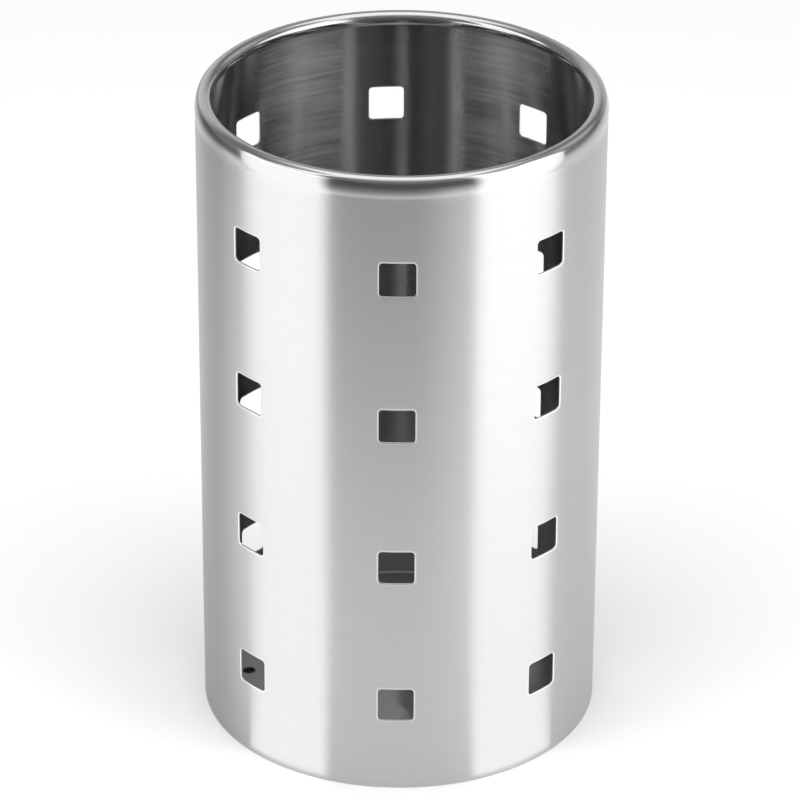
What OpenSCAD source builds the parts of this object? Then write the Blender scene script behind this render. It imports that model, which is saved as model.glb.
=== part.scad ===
// Free-standing utensil holder of sheet steel: a pierced sheet rolled into a tube, its top edge
// turned over a soft shoulder and curled inwards, with a shallow pan welded in as the base.
// Millimetres. +Z is up, the table is at z = 0, and the tube's axis is the Z axis.
// The front is towards -Y. Directions round the tube are turned from the front towards +X.

/* [Tube] */
// Height of the holder, from the table to the top of the rim
holder_h = 200; // [150:1:240]
// Outer diameter of the rolled tube, below the rim
tube_d = 119.2; // [95:0.1:150]
// Thickness of the sheet that the tube is rolled from
sheet_t = 0.5; // [0.4:0.05:0.8]

/* [Curled rim] */
// Outer diameter of the curl at the top edge
curl_d = 4.6; // [3.6:0.1:6]
// How far the curl's centre lies above the shoulder's
curl_lift = 2.25; // [1:0.05:3]
// Outer radius of the soft shoulder below the curl
shoulder_r = 8.15; // [6:0.05:12]
// How far the shoulder stands out past the tube
shoulder_proud = 0.2; // [0.1:0.05:0.5]
// Radius of the neck where the sheet leaves the tube for the shoulder
neck_r = 4.05; // [3:0.05:12]
// Direction in which the curl's cut edge ends, seen in section, in degrees
curl_end_angle = 285; // [240:1:295]

/* [Pierced windows] */
// Side of a square window
window_side = 10.5; // [6:0.1:14]
// Radius of a window's corners
window_corner_r = 1.1; // [0.4:0.1:2.5]
// Rows of windows
window_rows = 4; // [1:1:4]
// Columns of windows round the tube
window_columns = 8; // [3:1:8]
// Height of the lowest row's centre above the table
first_row_h = 28.9; // [20:0.1:35]
// Distance between rows, centre to centre
row_pitch = 46.65; // [20:0.05:48]
// Distance along the flat sheet from the seam to the nearest column's centre
seam_to_column = 18.45; // [10:0.05:30]

/* [Seam] */
// Direction of the tube's welded seam
seam_turn = -111.5; // [-180:0.5:180]
// Width of the weld in the seam
seam_w = 0.8; // [0.4:0.1:1.5]

/* [Base pan] */
// Height of the pan's floor above the table
floor_h = 4; // [3:0.1:12]
// Thickness of the pan's sheet
pan_t = 0.5; // [0.4:0.05:1]
// Outer radius of the bend round the pan's floor
pan_bend_r = 1.2; // [1.1:0.1:1.6]
// Gap all round between the pan's flange and the tube
pan_fit = 0.05; // [0.02:0.01:0.15]
// How far the flange's lower edge stays above the table
flange_lift = 1; // [0.9:0.1:1.3]
// Drain holes in the floor
drain_count = 3; // [1:1:6]
// Diameter of a drain hole
drain_d = 4; // [2:0.5:6]
// Distance of the drain holes' centres from the tube's wall
drain_inset = 13; // [6:0.5:30]
// Direction of the first drain hole
drain_turn = -90; // [-180:1:180]

/* [Tack welds] */
// Tack welds between the flange and the tube
tack_count = 6; // [3:1:12]
// Length of a tack weld along the tube
tack_l = 6; // [3:0.5:10]
// Leg of a tack weld's round fillet
tack_leg = 0.7; // [0.6:0.05:0.8]

/* [Hidden] */
$fn = 96;
slack = 1;
full_turn = 360;
front = -90;

tube_r = tube_d / 2;
tube_ri = tube_r - sheet_t;
mid_r = tube_r - sheet_t / 2;
blank_l = full_turn / 180 * PI * mid_r;

// Centres of the rim's bends, from the tube's outer face across and the rim's top down
curl_r = curl_d / 2;
curl_step = [sqrt(pow(shoulder_r - curl_r, 2) - pow(curl_lift, 2)), curl_lift];
curl_slope = atan2(curl_step[1], curl_step[0]);
shoulder_c = [shoulder_proud - shoulder_r, -curl_r - curl_lift];
curl_c = shoulder_c + curl_step;
neck_reach = shoulder_r + neck_r - shoulder_proud;
neck_drop = sqrt(pow(shoulder_r + neck_r, 2) - pow(neck_reach, 2));
neck_c = [neck_r, shoulder_c[1] - neck_drop];
neck_slope = atan2(neck_drop, neck_reach);

column_pitch = (blank_l - 2 * seam_to_column) / (window_columns - 1);
degrees_per_mm = full_turn / blank_l;

flange_r = tube_ri - pan_fit;
drain_r = tube_ri - drain_inset;

// Part of a ring of sheet in section: the ring about a centre, kept inside a wedge
module sheet_bend(centre, r, wedge) {
    intersection() {
        translate(centre)
            difference() {
                circle(r = r);
                circle(r = r - sheet_t);
            }
        polygon(wedge);
    }
}

// Point halfway through the sheet of a bend, in a direction from the bend's centre
function mid_sheet(centre, r, a) = centre + (r - sheet_t / 2) * [cos(a), sin(a)];

// Section of the rolled sheet: the straight wall, the neck, the shoulder and the curl.
// Bends that follow each other share a wedge's side, and a spot inside the sheet where they
// meet keeps them in one piece at any size.
module sheet_section() {
    steps = 12;
    curl_sweep = curl_end_angle - curl_slope;
    curl_wedge = [
        for (i = [0 : steps])
            let (a = curl_slope + curl_sweep * i / steps)
                curl_c + curl_d * [cos(a), sin(a)]
    ];
    joints = [
        [-sheet_t / 2, neck_c[1]],
        mid_sheet(shoulder_c, shoulder_r, -neck_slope),
        mid_sheet(curl_c, curl_r, curl_slope)
    ];
    translate([tube_r, holder_h]) {
        polygon([[-sheet_t, -holder_h], [0, -holder_h], [0, neck_c[1]], [-sheet_t, neck_c[1]]]);
        sheet_bend(neck_c, neck_r + sheet_t, [neck_c, [-neck_r, neck_c[1]], shoulder_c]);
        sheet_bend(shoulder_c, shoulder_r, [shoulder_c, neck_c, curl_wedge[0], curl_c]);
        sheet_bend(curl_c, curl_r, concat([curl_c], curl_wedge));
        for (joint = joints)
            translate(joint)
                circle(d = sheet_t / 2);
    }
}

// Slot of the seam's width, from the axis out through the tube
module seam_slot() {
    rotate([0, 0, front + seam_turn])
        translate([0, -seam_w / 2, -slack])
            cube([tube_r + shoulder_proud + slack, seam_w, holder_h + 2 * slack]);
}

// Outline of one window, centred, with round corners
module window_outline() {
    straight = window_side - 2 * window_corner_r;
    square([window_side, straight], center = true);
    square([straight, window_side], center = true);
    for (sx = [-1, 1], sy = [-1, 1])
        translate([sx, sy] * straight / 2)
            circle(r = window_corner_r);
}

// Punch for one window, through the sheet at +X
module window_punch() {
    punch_start = sqrt(pow(tube_ri, 2) - pow(window_side / 2, 2)) - slack;
    translate([punch_start, 0, 0])
        rotate([90, 0, 90])
            linear_extrude(height = tube_r + slack - punch_start)
                window_outline();
}

// The windows as they lie on the rolled sheet, counted from the seam
module window_pattern() {
    for (column = [0 : window_columns - 1], row = [0 : window_rows - 1]) {
        along = seam_to_column + column * column_pitch;
        rotate([0, 0, front + seam_turn + along * degrees_per_mm])
            translate([0, 0, first_row_h + row * row_pitch])
                window_punch();
    }
}

// Pierced sheet, rolled into a tube that is open at the seam, with its top edge curled
module wall() {
    color([0.74, 0.74, 0.75])
        difference() {
            rotate_extrude()
                sheet_section();
            window_pattern();
            seam_slot();
        }
}

// Butt weld that closes the tube, dressed flush with the sheet
module seam_weld() {
    color([0.66, 0.66, 0.67])
        intersection() {
            rotate_extrude()
                sheet_section();
            seam_slot();
        }
}

// Half section of the space under a pan with a rounded edge
module pan_outline(r, h, bend) {
    square([r, h - bend]);
    square([r - bend, h]);
    translate([r - bend, h - bend])
        circle(r = bend);
}

// Pressed pan: a floor with its edge bent down into a flange
module base() {
    flange_h = floor_h - flange_lift;
    color([0.62, 0.62, 0.63])
        difference() {
            translate([0, 0, flange_lift])
                rotate_extrude()
                    difference() {
                        pan_outline(flange_r, flange_h, pan_bend_r);
                        translate([0, -pan_t])
                            pan_outline(flange_r - pan_t, flange_h, pan_bend_r - pan_t);
                    }
            for (i = [0 : drain_count - 1])
                rotate([0, 0, front + drain_turn + i * full_turn / drain_count])
                    translate([drain_r, 0, 0])
                        cylinder(d = drain_d, h = floor_h + slack);
        }
}

// Short fillets in the corner under the flange, against the inside of the tube
module tack_welds() {
    tack_angle = tack_l * full_turn / (2 * PI * tube_ri);
    color([0.58, 0.56, 0.55])
        for (i = [0 : tack_count - 1])
            rotate([0, 0, front + (i + 0.5) * full_turn / tack_count - tack_angle / 2])
                rotate_extrude(angle = tack_angle)
                    translate([tube_ri, flange_lift])
                        intersection() {
                            circle(r = tack_leg);
                            translate([-tack_leg, -tack_leg])
                                square(tack_leg);
                        }
}

wall();
seam_weld();
base();
tack_welds();
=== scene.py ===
import math

import bpy
from mathutils import Matrix, Vector


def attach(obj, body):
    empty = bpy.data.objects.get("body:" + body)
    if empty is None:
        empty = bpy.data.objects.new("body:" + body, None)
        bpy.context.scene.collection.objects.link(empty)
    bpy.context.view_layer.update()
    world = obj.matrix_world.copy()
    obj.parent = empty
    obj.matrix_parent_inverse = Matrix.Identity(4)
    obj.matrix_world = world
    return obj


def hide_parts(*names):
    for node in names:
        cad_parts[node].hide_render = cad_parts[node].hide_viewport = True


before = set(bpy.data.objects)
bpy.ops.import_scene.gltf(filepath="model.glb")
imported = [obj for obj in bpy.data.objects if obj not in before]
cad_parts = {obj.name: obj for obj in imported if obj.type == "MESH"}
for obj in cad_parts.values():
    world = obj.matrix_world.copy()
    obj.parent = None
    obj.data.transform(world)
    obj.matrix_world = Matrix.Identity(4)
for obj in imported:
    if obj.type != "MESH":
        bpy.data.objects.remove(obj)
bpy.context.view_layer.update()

# Wall. One sheet of stainless steel, pierced flat with four rows of square windows, rolled into
# a tube and closed by a butt weld, its top edge turned over a soft shoulder and curled inwards.
# The outside is brushed round the tube, the curl is polished, and the inside is finer brushed.
mm = 0.001

# Millimetres. The curl is a hair inside the solid's, to stay in its box, and the neck is softer and
# the shoulder flatter than the solid's, so that they mirror the table as the photograph shows.
tube_r = 59.6
sheet_t = 0.5
mid_r = tube_r - sheet_t / 2
rim_top = 199.98
curl_r = 2.28
curl_lift = 2.25
curl_end = 285.0
shoulder_r = 8.15
shoulder_proud = 0.1
neck_r = 8.0
seam_turn = -111.5
seam_w = 0.8
window_side = 10.5
window_corner = 1.1
first_row_h = 28.9
row_pitch = 46.65
window_row_count = 4
window_columns = 8
window_rows = [first_row_h + row_pitch * row for row in range(window_row_count)]
seam_to_column = 18.45
column_pitch = 2 * (math.pi * mid_r - seam_to_column) / (window_columns - 1)
window_turns = [seam_turn + math.degrees((seam_to_column + column_pitch * column) / mid_r)
                for column in range(window_columns)]

# Centres of the rim's three bends, as (distance from the axis, height), and where they meet.
curl_across = math.sqrt((shoulder_r - curl_r) ** 2 - curl_lift ** 2)
shoulder_at = (tube_r + shoulder_proud - shoulder_r, rim_top - curl_r - curl_lift)
curl_at = (shoulder_at[0] + curl_across, rim_top - curl_r)
neck_reach = tube_r + neck_r - shoulder_at[0]
neck_drop = math.sqrt((shoulder_r + neck_r) ** 2 - neck_reach ** 2)
neck_at = (tube_r + neck_r, shoulder_at[1] - neck_drop)
neck_slope = math.degrees(math.atan2(neck_drop, neck_reach))
curl_slope = math.degrees(math.atan2(curl_lift, curl_across))


def stepped(start, end, count):
    """Even steps from start up to, but without, end."""
    return [start + (end - start) * i / count for i in range(count)]


def bend(centre, r, start, end, count):
    """Points along an arc about a centre, between two directions in degrees."""
    turned = [math.radians(a) for a in stepped(start, end, count) + [end]]
    return [(centre[0] + r * math.cos(a), centre[1] + r * math.sin(a)) for a in turned]


# The foot's cut edge: the radius of its rounding, and how far in its middle point lies.
edge_round = 0.12
edge_middle = 0.035

# Heights of the sheet's points: steps across each row of windows, and a few between the rows.
frame_steps = [-7.0, -6.3, -5.6, -4.5, -2.2, 0.0, 2.2, 4.5, 5.6, 6.3, 7.0]
steps_between_rows = 6
heights = [edge_round]
for centre in window_rows:
    heights += stepped(heights[-1], centre + frame_steps[0], steps_between_rows)[1:]
    heights += [centre + step for step in frame_steps]
heights += stepped(heights[-1], neck_at[1], steps_between_rows)[1:] + [neck_at[1]]

neck_steps = 5
shoulder_steps = 15
curl_steps = 46


def sheet_face(depth):
    """One face of the sheet in section, from the foot to the end of the curl, at a depth in it."""
    return ([(tube_r - depth, z) for z in heights]
            + bend(neck_at, neck_r + depth, 180, 180 - neck_slope, neck_steps)[1:]
            + bend(shoulder_at, shoulder_r - depth, -neck_slope, curl_slope, shoulder_steps)[1:]
            + bend(curl_at, curl_r - depth, curl_slope, curl_end, curl_steps)[1:])


# The whole outline in section: up the outside, round the curl, down the inside, and the foot.
outside = sheet_face(0.0)
inside = sheet_face(sheet_t)
inner_r = tube_r - sheet_t
foot = [(inner_r + edge_middle, edge_middle), (inner_r + edge_round, 0.0),
        (tube_r - edge_round, 0.0), (tube_r - edge_middle, edge_middle)]
section = outside + inside[::-1] + foot
skin = len(outside)
inside_foot = 2 * skin - 1

# The finish of each side of the outline. The polish starts two steps short of the shoulder's end.
brushed_to = len(heights) + neck_steps + shoulder_steps - 2
BRUSHED, POLISHED, INNER, CUT = range(4)
faced = [BRUSHED] * brushed_to + [POLISHED] * (skin - 1 - brushed_to) + [CUT]
faced += [INNER] * (skin - 1) + [CUT] * (len(foot) + 1)


def on_tube(turn, across, r, z):
    """A point in metres: turned from the front, then across a flat cut such as a window's side."""
    a = math.radians(turn) + math.asin(across / r)
    return (r * math.sin(a) * mm, -r * math.cos(a) * mm, z * mm)


def window_outline(grow):
    """Forty points round a window, as (across, up), with its outline grown by a margin.

    They are one side with half of the corner at each of its ends, turned four times.
    """
    far = window_side / 2 - window_corner
    side = bend((-far, -far), window_corner + grow, 225, 255, 2)
    side += [(across, -window_side / 2 - grow) for across in stepped(-far, far, 4)]
    side += bend((far, -far), window_corner + grow, 270, 300, 2)
    points = []
    for _ in range(4):
        points += side
        side = [(-up, across) for across, up in side]
    return points


# The punch rolls the sheet's outer edge over a little and leaves the inner edge sharp. Each ring
# of points through a window is (how far it is grown, its depth in the sheet).
window_rings = [(0.5, 0.0), (0.32, 0.008), (0.17, 0.035), (0.05, 0.09), (0.0, 0.16),
                (0.0, sheet_t - 0.03), (0.03, sheet_t), (0.3, sheet_t)]

# The way round a window's frame, in steps across and up, with as many points as its outline.
last_step = len(frame_steps) - 1
around = [(i, 0) for i in range(last_step)] + [(last_step, j) for j in range(last_step)]
around += [(i, last_step) for i in range(last_step, 0, -1)] + [(0, j) for j in range(last_step, 0, -1)]

sharp_from_deg = 40


def roll_sheet(name, lines, pierced=()):
    """Sweeps the sheet's section along lines of (turn, across).

    Pierced lists the columns of windows as (turn, first line of the frame). A window's frame is
    left out of both faces of the sheet, and its rings join the one to the other.
    """
    points = [on_tube(turn, across, r, z) for turn, across in lines for r, z in section]
    count = len(section)
    faces, kinds, left_out = [], [], set()
    for turn, first in pierced:
        for centre in window_rows:
            low = heights.index(centre + frame_steps[0])
            for i in range(first, first + last_step):
                left_out |= {(i, low + j) for j in range(last_step)}
                left_out |= {(i, inside_foot - 1 - low - j) for j in range(last_step)}
            rings = [[(first + i) * count + low + j for i, j in around]]
            for grow, depth in window_rings:
                rings.append(range(len(points), len(points) + len(around)))
                points += [on_tube(turn, across, tube_r - depth, centre + up)
                           for across, up in window_outline(grow)]
            rings.append([(first + i) * count + inside_foot - low - j for i, j in around])
            for ring, (outer, inner) in enumerate(zip(rings, rings[1:])):
                kind = BRUSHED if ring == 0 else INNER if ring == len(window_rings) else CUT
                for k in range(len(around)):
                    after = (k + 1) % len(around)
                    faces.append((outer[k], outer[after], inner[after], inner[k]))
                    kinds.append(kind)
    for i in range(len(lines) - 1):
        for j in range(count):
            if (i, j) not in left_out:
                a, b = i * count + j, i * count + (j + 1) % count
                faces.append((a, a + count, b + count, b))
                kinds.append(faced[j])
    for start in (0, (len(lines) - 1) * count):
        inner = start + inside_foot
        foot_corners = range(inner + 1, inner + 1 + len(foot))
        caps = [(start + j, start + j + 1, inner - 1 - j, inner - j) for j in range(skin - 1)]
        caps += [(start, inner, foot_corners[0], foot_corners[-1]), tuple(foot_corners)]
        faces += caps
        kinds += [CUT] * len(caps)
    mesh = bpy.data.meshes.new(name)
    mesh.from_pydata(points, [], faces)
    mesh.polygons.foreach_set("material_index", kinds)
    mesh.shade_smooth()
    mesh.set_sharp_from_angle(angle=math.radians(sharp_from_deg))
    mesh.validate()
    piece = bpy.data.objects.new(name, mesh)
    bpy.context.collection.objects.link(piece)
    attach(piece, "root")
    return piece


steps_beside_seam = 7
steps_between_columns = 20
window_deg = [math.degrees(step / mid_r) for step in frame_steps]
lines = [(seam_turn, seam_w / 2)]
pierced = []
for turn in window_turns:
    steps = steps_between_columns if pierced else steps_beside_seam
    lines += [(t, 0) for t in stepped(lines[-1][0], turn + window_deg[0], steps)[1:]]
    pierced.append((turn, len(lines)))
    lines += [(turn + t, 0) for t in window_deg]
lines += [(t, 0) for t in stepped(lines[-1][0], seam_turn + 360, steps_beside_seam)[1:]]
lines.append((seam_turn + 360, -seam_w / 2))
wall = roll_sheet("rolled_wall", lines, pierced)
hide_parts("wall")


class Wire:
    """A socket in a finish's nodes, so that shader maths reads as plain Python."""

    def __init__(self, tree, socket=None):
        self.tree, self.socket = tree, socket

    def node(self, kind, settings=(), sockets=(), out=0):
        """Adds a node: its settings first, then the values or links of its sockets."""
        made = self.tree.nodes.new("ShaderNode" + kind)
        for name, value in dict(settings).items():
            setattr(made, name, value)
        for name, value in dict(sockets).items():
            if isinstance(value, Wire):
                self.tree.links.new(value.socket, made.inputs[name])
            else:
                made.inputs[name].default_value = value
        return Wire(self.tree, made.outputs[out] if made.outputs else None)

    def maths(self, operation, *values):
        """A Math node on values that are numbers or sockets."""
        return self.node("Math", {"operation": operation}, dict(enumerate(values)))

    def blend(self, a, b):
        """Mixes two colours by this factor; the node's colours are its sockets 6 and 7."""
        return self.node("Mix", {"data_type": "RGBA"}, {0: self, 6: a, 7: b}, out=2)

    def along(self, axis):
        """How far this vector goes along an axis: X to the right, Y to the back, or Z up."""
        return self.node("SeparateXYZ", {}, {0: self}, out=axis)

    def length(self):
        """The length of this vector."""
        return self.node("VectorMath", {"operation": "LENGTH"}, {0: self}, out="Value")

    def facing(self, aim):
        """How far this direction points towards an aim: 1 is straight at it."""
        return self.node("VectorMath", {"operation": "DOT_PRODUCT"}, {0: self, 1: aim}, out="Value")

    def stretched(self, x, y, z):
        """Scales this vector along each axis."""
        return self.node("VectorMath", {"operation": "MULTIPLY"}, {0: self, 1: (x, y, z)})

    def noise(self, detail=2.0, rough=0.5):
        """Soft noise of about 0.3 to 0.7 over this vector, with one cell to each unit."""
        return self.node("TexNoise", {}, {"Vector": self, "Scale": 1.0, "Detail": detail,
                                          "Roughness": rough})

    def between(self, low, high):
        """0 below low and 1 above high, eased in between."""
        return self.node("MapRange", {"interpolation_type": "SMOOTHSTEP"}, {0: self, 1: low, 2: high})

    def turn_from_front(self, back):
        """The turn in radians from the front of a place this far to a side and that far back."""
        return self.maths("ARCTAN2", abs(self), -back)

    def __add__(self, other):
        return self.maths("ADD", self, other)

    def __sub__(self, other):
        return self.maths("SUBTRACT", self, other)

    def __rsub__(self, other):
        return self.maths("SUBTRACT", other, self)

    def __mul__(self, other):
        return self.maths("MULTIPLY", self, other)

    def __truediv__(self, other):
        return self.maths("DIVIDE", self, other)

    def __neg__(self):
        return self * -1

    def __abs__(self):
        return self.maths("ABSOLUTE", self)

    __radd__, __rmul__ = __add__, __mul__


def finish_named(name):
    """An empty material, ready for its nodes."""
    material = bpy.data.materials.new(name)
    material.use_nodes = True
    material.node_tree.nodes.clear()
    return material, Wire(material.node_tree)


def surface(start, rubbed=None, **sockets):
    """Ends a finish: a Principled shader with the sockets given, on the material's output.

    A rubbed surface is the same but rougher in places; rubbed is (how much, how rough).
    """
    named = {name.replace("_", " "): value for name, value in sockets.items()}
    shader = start.node("BsdfPrincipled", {}, named)
    if rubbed:
        rougher = start.node("BsdfPrincipled", {}, {**named, "Roughness": rubbed[1]})
        shader = start.node("MixShader", {}, {0: rubbed[0], 1: shader, 2: rougher})
    start.node("OutputMaterial", {}, {"Surface": shader})


def place(start):
    """Where a point is on the holder, in metres."""
    return start.node("TexCoord", out="Object")


# In metres: the heights between which the curling rollers smooth the steel more and more, and how
# far to each side of the middle the rubbed patches start, are full, fade and end.
rolled_from, rolled_full = 0.191, 0.1965
patch_from, patch_full = 0.013, 0.022
patch_fades, patch_ends = 0.038, 0.048
patch_rough = 0.42


def brushed_steel(name, light, dark, rough, spread, anisotropy, fineness, rubbed=0.0):
    """Steel brushed round the tube: fine level lines in its colour and gloss, in broad drifts.

    Fineness is how many lines of noise a metre of height has. Rubbed steel is also rougher in
    patches at the left and the right, as if a hand had cleaned it.
    """
    material, start = finish_named(name)
    at = place(start)
    fine = at.stretched(60, 60, fineness).noise(3, 0.6)
    long = at.stretched(14, 14, fineness * 0.35).noise(2, 0.5)
    drift = at.stretched(9, 9, 16).noise(2, 0.5)
    streak = (fine * 0.6 + long * 0.4).between(0.3, 0.7)
    colour = (streak * 0.7 + drift * 0.3).blend((*dark, 1), (*light, 1))
    rolled = at.along("Z").between(rolled_from, rolled_full)
    roughness = (streak * spread + drift * spread + rough) * (1 - rolled * 0.35)
    rubbing = None
    if rubbed:
        aside = abs(at.along("X"))
        patches = aside.between(patch_from, patch_full) * (1 - aside.between(patch_fades, patch_ends))
        rubbing = (patches * (streak * 0.65 + 0.35) * rubbed, patch_rough)
    surface(start, rubbing, Base_Color=colour, Metallic=1.0, Roughness=roughness,
            Anisotropic=anisotropy, Anisotropic_Rotation=0.25)
    return material


def polished_steel(name, light, dark, rough):
    """Bright steel from the curling rollers, with faint lines that follow the rim. The windows' cut
    edges take it too, in a paler colour that is a painted highlight.
    """
    material, start = finish_named(name)
    at = place(start)
    drawn = at.stretched(25, 25, 1800).noise(3, 0.55)
    haze = at.stretched(60, 60, 60).noise(3, 0.5)
    colour = drawn.blend((*dark, 1), (*light, 1))
    surface(start, Base_Color=colour, Metallic=1.0, Roughness=rough + 0.06 * drawn + 0.06 * haze)
    return material


wall_out = brushed_steel("brushed_outside", (0.595, 0.595, 0.6), (0.56, 0.56, 0.565),
                         rough=0.27, spread=0.025, anisotropy=0.9, fineness=2600)
rim_steel = polished_steel("polished_rim", (0.68, 0.68, 0.68), (0.62, 0.62, 0.625), rough=0.08)
wall_in = brushed_steel("brushed_inside", (0.51, 0.51, 0.515), (0.46, 0.46, 0.465),
                        rough=0.18, spread=0.03, anisotropy=1.0, fineness=900, rubbed=0.85)
# The cut edges' pale colour is a painted highlight that outlines the windows in light.
cut_steel_painted_highlight = polished_steel("cut_edge_painted_highlight", (0.78, 0.78, 0.78), (0.7, 0.7, 0.7), rough=0.3)
for material in (wall_out, rim_steel, wall_in, cut_steel_painted_highlight):
    wall.data.materials.append(material)

# Seam weld. The butt weld that closes the tube from the table to the end of the curl, ground
# flush and brushed over with the rest, so that it shows only as a slightly duller line.
seam = roll_sheet("seam_weld_dressed", [(seam_turn, across) for across in (-seam_w / 2, 0, seam_w / 2)])
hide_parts("seam_weld")
weld_out = brushed_steel("dressed_weld", (0.57, 0.57, 0.575), (0.52, 0.52, 0.525),
                         rough=0.31, spread=0.04, anisotropy=0.8, fineness=2800)
for material in (weld_out, rim_steel, wall_in, cut_steel_painted_highlight):
    seam.data.materials.append(material)

# Base pan. A disc of cold-rolled stainless steel, pressed into a shallow pan with its flange
# down and three drain holes, pushed up into the tube; dull, with faint mottling and with pale,
# rougher clouds that are partly painted light: they lean to the left as light falling there would.
pan_steel, start = finish_named("mill_pan")
at = place(start)
mottle = at.stretched(120, 120, 120).noise(4, 0.6)
# The clouds' noise is the steel's own mottled tone; their lean to the left, from the X term, is painted
# light on that side of the pan.
clouds_and_painted_light = (at.stretched(-75, 75, 75).noise(2, 0.5) - at.along("X") * 4).between(0.4, 0.6)
colour = (mottle * 0.3 + clouds_and_painted_light * 0.7).blend((0.62, 0.62, 0.625, 1), (0.92, 0.92, 0.925, 1))
surface(start, Base_Color=colour, Metallic=1.0, Roughness=0.3 + 0.42 * clouds_and_painted_light,
        Normal=start.node("Bump", {}, {"Strength": 0.1, "Distance": 0.0001, "Height": mottle}))
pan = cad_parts["base"]
pan.data.materials.clear()
pan.data.materials.append(pan_steel)

# Tack welds. Six short fillets of bare weld metal that hold the pan's flange to the tube,
# out of sight under the base; straw and blue heat tints on grey metal.
weld_metal, start = finish_named("tack_weld")
at = place(start)
ripple = at.stretched(900, 900, 900).noise(2, 0.5)
tint = at.stretched(300, 300, 300).noise(2, 0.5).between(0.4, 0.6)
straw, blue = (0.42, 0.36, 0.28, 1), (0.36, 0.37, 0.41, 1)
surface(start, Base_Color=tint.blend(straw, blue), Metallic=1.0, Roughness=0.4 + 0.15 * ripple,
        Normal=start.node("Bump", {}, {"Strength": 0.4, "Distance": 0.0002, "Height": ripple}))
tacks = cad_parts["tack_welds"]
tacks.data.materials.clear()
tacks.data.materials.append(weld_metal)

# Table. The plain pale sheet that the holder stands on for its picture, wide enough to fill the
# view from any side, and greyer far in front as painted shade for the light's fall-off with distance,
# so that the holder's bright edges show up against it from behind. It isn't part of the holder.
spokes = 48
table_rings = (0.1, 0.3, 0.8, 2.0, 6.0)
table_points = [(0, 0, 0)]
for r in table_rings:
    table_points += [(r * math.sin(a), -r * math.cos(a), 0) for a in stepped(0, 2 * math.pi, spokes)]
table_faces = [(0, 1 + k, 1 + (k + 1) % spokes) for k in range(spokes)]
for ring in range(len(table_rings) - 1):
    inner, outer = 1 + ring * spokes, 1 + (ring + 1) * spokes
    table_faces += [(inner + k, outer + k, outer + (k + 1) % spokes, inner + (k + 1) % spokes)
                    for k in range(spokes)]
table_mesh = bpy.data.meshes.new("table")
table_mesh.from_pydata(table_points, [], table_faces)
table = bpy.data.objects.new("table", table_mesh)
bpy.context.collection.objects.link(table)
pale, start = finish_named("pale_table")
at = place(start)
tooth = at.stretched(400, 400, 400).noise(2, 0.5)
near_tone = tooth.blend((0.95, 0.95, 0.95, 1), (0.97, 0.97, 0.97, 1))
# The grey far in front is painted shade, standing in for light that falls off away from the lamps.
painted_falloff_grey = (0.55, 0.55, 0.55, 1)
in_front = -at.along("Y")
surface(start, Base_Color=in_front.between(0.35, 0.8).blend(near_tone, painted_falloff_grey), Roughness=0.6,
        Specular_IOR_Level=0.2)
table_mesh.materials.append(pale)

# Studio. A dim room that brightens upwards, with paler stretches at the back and the sides, a
# soft lamp overhead, and a wider one above it that lights the table without being mirrored.
# Its turns are in radians from straight in front, the same to the left and to the right.
world = bpy.data.worlds.new("room")
bpy.context.scene.world = world
world.use_nodes = True
world.node_tree.nodes.clear()
start = Wire(world.node_tree)
towards = start.node("TexCoord", out="Generated")
sideways, back, height = (towards.along(axis) for axis in "XYZ")
turn = sideways.turn_from_front(back)


def at_back_corners(turn):
    """1 behind the holder to the left and right, and 0 straight behind it and at its sides."""
    return turn.between(2.2, 2.65) * (1 - turn.between(2.9, 3.1))


ceiling = height.between(0.25, 0.45) * 0.14 + height.between(0.7, 0.9) * 0.35
back_left = towards.facing((-0.26, 0.966, 0.0)).between(0.65, 0.97) * height.between(0.0, 0.35) * 0.5
back_right = towards.facing((0.73, 0.46, 0.5)).between(0.93, 0.985) * 0.3
low_sides = abs(sideways).between(0.6, 0.9) * (1 - height.between(0.2, 0.5)) * 0.15
tall_sides = turn.between(0.8, 0.95) * (1 - turn.between(1.6, 1.7)) * height.between(0.0, 0.3)
tall_sides = tall_sides * (1 - (height + turn * 0.8).between(1.55, 1.75)) * 1.5
back_corners = at_back_corners(turn) * (1 - height.between(0.1, 0.4)) * 0.5
dimmest = 0.08
level = ceiling + back_left + back_right + low_sides + tall_sides + back_corners + dimmest
room = start.node("Background", {}, {"Color": (1, 1, 1, 1), "Strength": level})
start.node("OutputWorld", {}, {"Surface": room})


def soft_lamp(name, at, width, depth, level, mirrored):
    """A soft lamp facing down, its face as bright as level; metal can be kept from mirroring it."""
    data = bpy.data.lights.new(name, "AREA")
    data.shape = "RECTANGLE"
    data.size, data.size_y = width, depth
    data.energy = level * width * depth * math.pi
    lamp = bpy.data.objects.new(name, data)
    bpy.context.collection.objects.link(lamp)
    lamp.location = at
    lamp.visible_camera = False
    lamp.visible_glossy = mirrored


soft_lamp("overhead_lamp", (0.0, 0.12, 1.1), width=0.8, depth=0.85, level=0.75, mirrored=True)
soft_lamp("table_lamp", (0.0, -1.0, 1.8), width=3.0, depth=2.6, level=1.66, mirrored=False)


def seen_only_in_steel(thing):
    """Leaves a thing to reflections alone, out of the picture and out of the table's light."""
    for seen_by in ("camera", "diffuse", "transmission", "volume_scatter", "shadow"):
        setattr(thing, "visible_" + seen_by, False)


# Light cards. One at each side, standing at the holder's foot, that opens outwards like a fan and
# leans back, so that the steel mirrors it as a bright band from the foot to the rim. Near its foot
# it is turned a little further, which keeps the band's edges where the photograph has them.
card_foot = 0.0605
card_lift = 0.0005
flared_to = 0.04

# How much it rises for each metre that it goes out, and how many times as far from the front its
# way out points as its foot stands.
card_rise = 1.732
card_fan = 2.05
across_steps = 16
along_steps = 60


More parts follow.
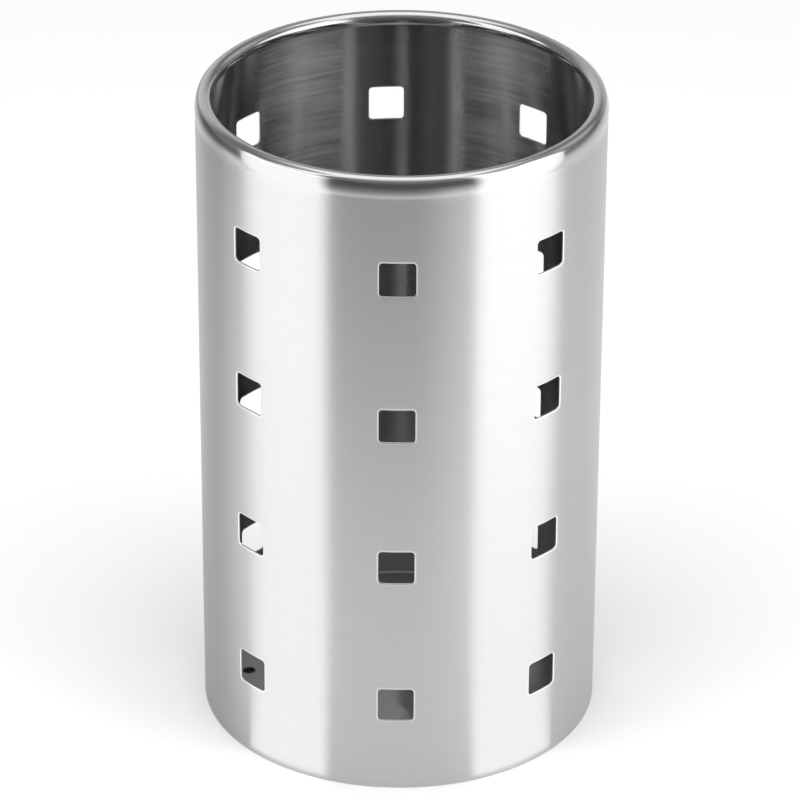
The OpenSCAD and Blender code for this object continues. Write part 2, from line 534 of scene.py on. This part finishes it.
def light_card(side, inner, outer, flare, reach, foot_level, top_level):
    """A card between two turns from the front, at the left (-1) or the right (1).

    Flare is the further turn at its foot in degrees, reach how far out it goes, and the levels
    are how bright it is where the steel mirrors it at the foot and higher up. Its UV map holds how
    far across it a point lies, from 0 to 1, and how far out, in metres.
    """
    points, marks = [], []
    for i in range(across_steps + 1):
        t = i / across_steps
        for j in range(along_steps + 1):
            d = reach * j / along_steps
            turned_further = flare * (0.4 + 0.6 * t) * max(0.0, 1 - d / flared_to) ** 2
            a = math.radians(inner + (outer - inner) * t + turned_further)
            x = card_foot * math.sin(a) + d * math.sin(a * card_fan)
            y = -card_foot * math.cos(a) - d * math.cos(a * card_fan)
            points.append((side * x, y, card_lift + d * card_rise))
            marks.append((t, d))
    row = along_steps + 1
    corners = [i * row + j for i in range(across_steps) for j in range(along_steps)]
    mesh = bpy.data.meshes.new("light_card")
    mesh.from_pydata(points, [], [(k, k + row, k + row + 1, k + 1) for k in corners])
    across_along = mesh.uv_layers.new(name="across_along")
    for loop, mark in zip(mesh.loops, across_along.data):
        mark.uv = marks[loop.vertex_index]
    card = bpy.data.objects.new("light_card", mesh)
    bpy.context.collection.objects.link(card)
    seen_only_in_steel(card)
    glow, start = finish_named("card_light")
    marked = start.node("TexCoord", out="UV")
    t, d = marked.along("X"), marked.along("Y")
    level = d.between(0.01, 0.085) * (top_level - foot_level) + foot_level
    level = level * (1 - d.between(reach - 0.03, reach) * 0.8) * (1 - t.between(0.85, 1.0) * 0.15)
    surface(start, Base_Color=(0, 0, 0, 1), Specular_IOR_Level=0.0, Roughness=1.0,
            Emission_Strength=1.0, Emission_Color=level, Alpha=t.between(0.0, 0.16))
    mesh.materials.append(glow)


light_card(-1, inner=18.3, outer=46.9, flare=2.5, reach=0.17, foot_level=1.54, top_level=1.66)
light_card(1, inner=18.4, outer=47.4, flare=3.2, reach=0.33, foot_level=1.56, top_level=1.8)

# Dark mat. A dark sheet on the table that paints a dark reflection: seen only in the steel, it deepens
# away from the holder, so that the neck mirrors it as the dark line under the rim. It is thinner to
# the front right and at the back corners, and at the left a patch of it reaches the holder's foot.
mat_half = 5.0
mat_lift = 0.0002
mat_corners = [(x * mat_half, y * mat_half, mat_lift) for x, y in ((-1, -1), (1, -1), (1, 1), (-1, 1))]
mat_mesh = bpy.data.meshes.new("mat")
mat_mesh.from_pydata(mat_corners, [], [(0, 1, 2, 3)])
mat = bpy.data.objects.new("mat", mat_mesh)
bpy.context.collection.objects.link(mat)
seen_only_in_steel(mat)
# Painted dark reflection: this sheet is no cloth, and shows as shade only in the steel's mirror image.
painted_dark_reflection, start = finish_named("painted_dark_reflection_sheet")
at = place(start)
x, y = at.along("X"), at.along("Y")
away = at.length()
to_front, to_right = -y / away, x / away
in_front = away.between(0.2, 0.5) * 0.55 + away.between(0.4, 3.0) * 0.25 + 0.1
in_front = in_front * (1 - to_right.between(0.1, 0.6) * 0.8)
left_patch = (y + x * 0.5).between(-0.085, -0.045) * (-x).between(0.0, 0.05) * 0.33
at_left = away.between(0.4, 0.95) * (0.93 - left_patch) + left_patch
at_right = away.between(0.55, 2.0) * 0.72 + 0.09
beside = to_right.between(-0.3, 0.3) * (at_right - at_left) + at_left
depth = to_front.between(0.5, 0.8) * (in_front - beside) + beside
turn = x.turn_from_front(y)
depth = depth * (1 - at_back_corners(turn) * 0.55)
surface(start, Base_Color=(0.03, 0.03, 0.03, 1), Roughness=0.9, Alpha=depth)
mat_mesh.materials.append(painted_dark_reflection)

# Camera. A long lens, looking down at the front of the holder at the photograph's angle, and
# placed as the fit to the photograph's outlines gave it.
camera_data = bpy.data.cameras.new("camera")
camera = bpy.data.objects.new("camera", camera_data)
bpy.context.collection.objects.link(camera)
bpy.context.scene.camera = camera
camera_data.sensor_width = 36.0
camera_data.lens = 209.16
camera_data.clip_start = 0.05
camera_data.clip_end = 50.0
camera_at = (-0.00326, -1.21822, 0.75835)
pitch, yaw, roll = math.radians(28.436), math.radians(0.150), math.radians(0.283)
ahead = Vector((math.sin(yaw) * math.cos(pitch), math.cos(yaw) * math.cos(pitch), -math.sin(pitch)))
level_right = Vector((math.cos(yaw), -math.sin(yaw), 0.0))
level_up = level_right.cross(ahead)
right = math.cos(roll) * level_right + math.sin(roll) * level_up
up = math.cos(roll) * level_up - math.sin(roll) * level_right
stance = Matrix((right, up, -ahead)).transposed().to_4x4()
stance.translation = camera_at
camera.matrix_world = stance

bpy.context.scene.view_settings.view_transform = "Standard"
